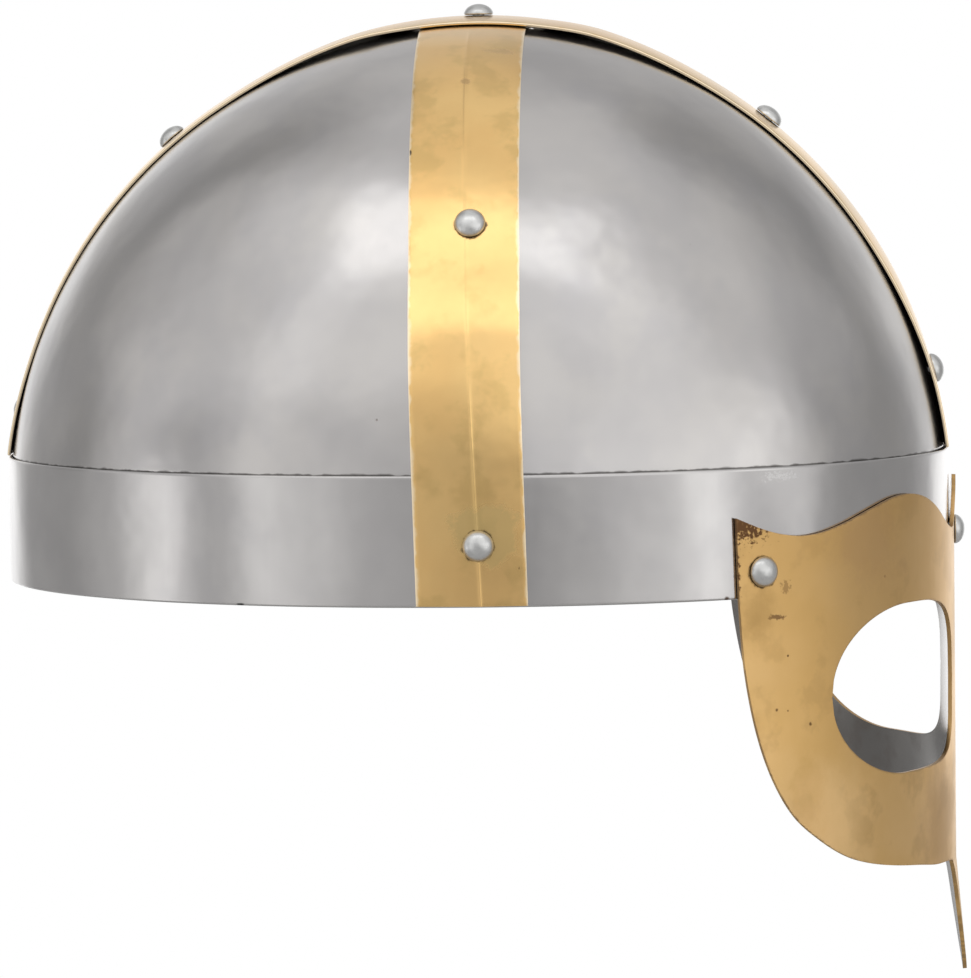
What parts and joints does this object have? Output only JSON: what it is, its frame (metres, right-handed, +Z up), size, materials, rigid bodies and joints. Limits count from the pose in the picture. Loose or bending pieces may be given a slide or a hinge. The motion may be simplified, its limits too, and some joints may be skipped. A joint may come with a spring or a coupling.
{
  "type": "spangenhelm helmet",
  "caption": "Riveted dome helmet with a brow band, crossing brass strips and a spectacle face guard with a pointed nasal.",
  "frame": {"origin": "middle of the head opening, level with the lower edge of the brow band", "axes": "+X the way the face looks, +Y the wearer's left, +Z up when the helmet is worn level"},
  "size_m": [0.2399, 0.2042, 0.2433],
  "materials": {
    "dome_steel": "polished sheet steel with soft reflections and a few specks",
    "band_steel": "polished sheet steel with a burnished upper edge",
    "rivet_steel": "bright domed rivet heads",
    "strip_brass": "polished brass sheet with slight tarnish round the rivets",
    "guard_brass": "satin brass sheet with brown spots and small scars"
  },
  "bodies": {
    "root": {"dome_plate_front_right": "dome_steel", "dome_plate_front_left": "dome_steel", "dome_plate_back_right": "dome_steel", "dome_plate_back_left": "dome_steel", "brow_band": "band_steel", "crest_strip": "strip_brass", "cross_strip": "strip_brass", "face_guard": "guard_brass", "rivet_top": "rivet_steel", "rivet_crest_front_upper": "rivet_steel", "rivet_crest_front_lower": "rivet_steel", "rivet_crest_back_upper": "rivet_steel", "rivet_crest_back_lower": "rivet_steel", "rivet_cross_upper_right": "rivet_steel", "rivet_cross_upper_left": "rivet_steel", "rivet_cross_lower_right": "rivet_steel", "rivet_cross_lower_left": "rivet_steel", "rivet_guard_right": "rivet_steel", "rivet_guard_left": "rivet_steel", "rivet_guard_middle": "rivet_steel"}
  },
  "joints": []
}
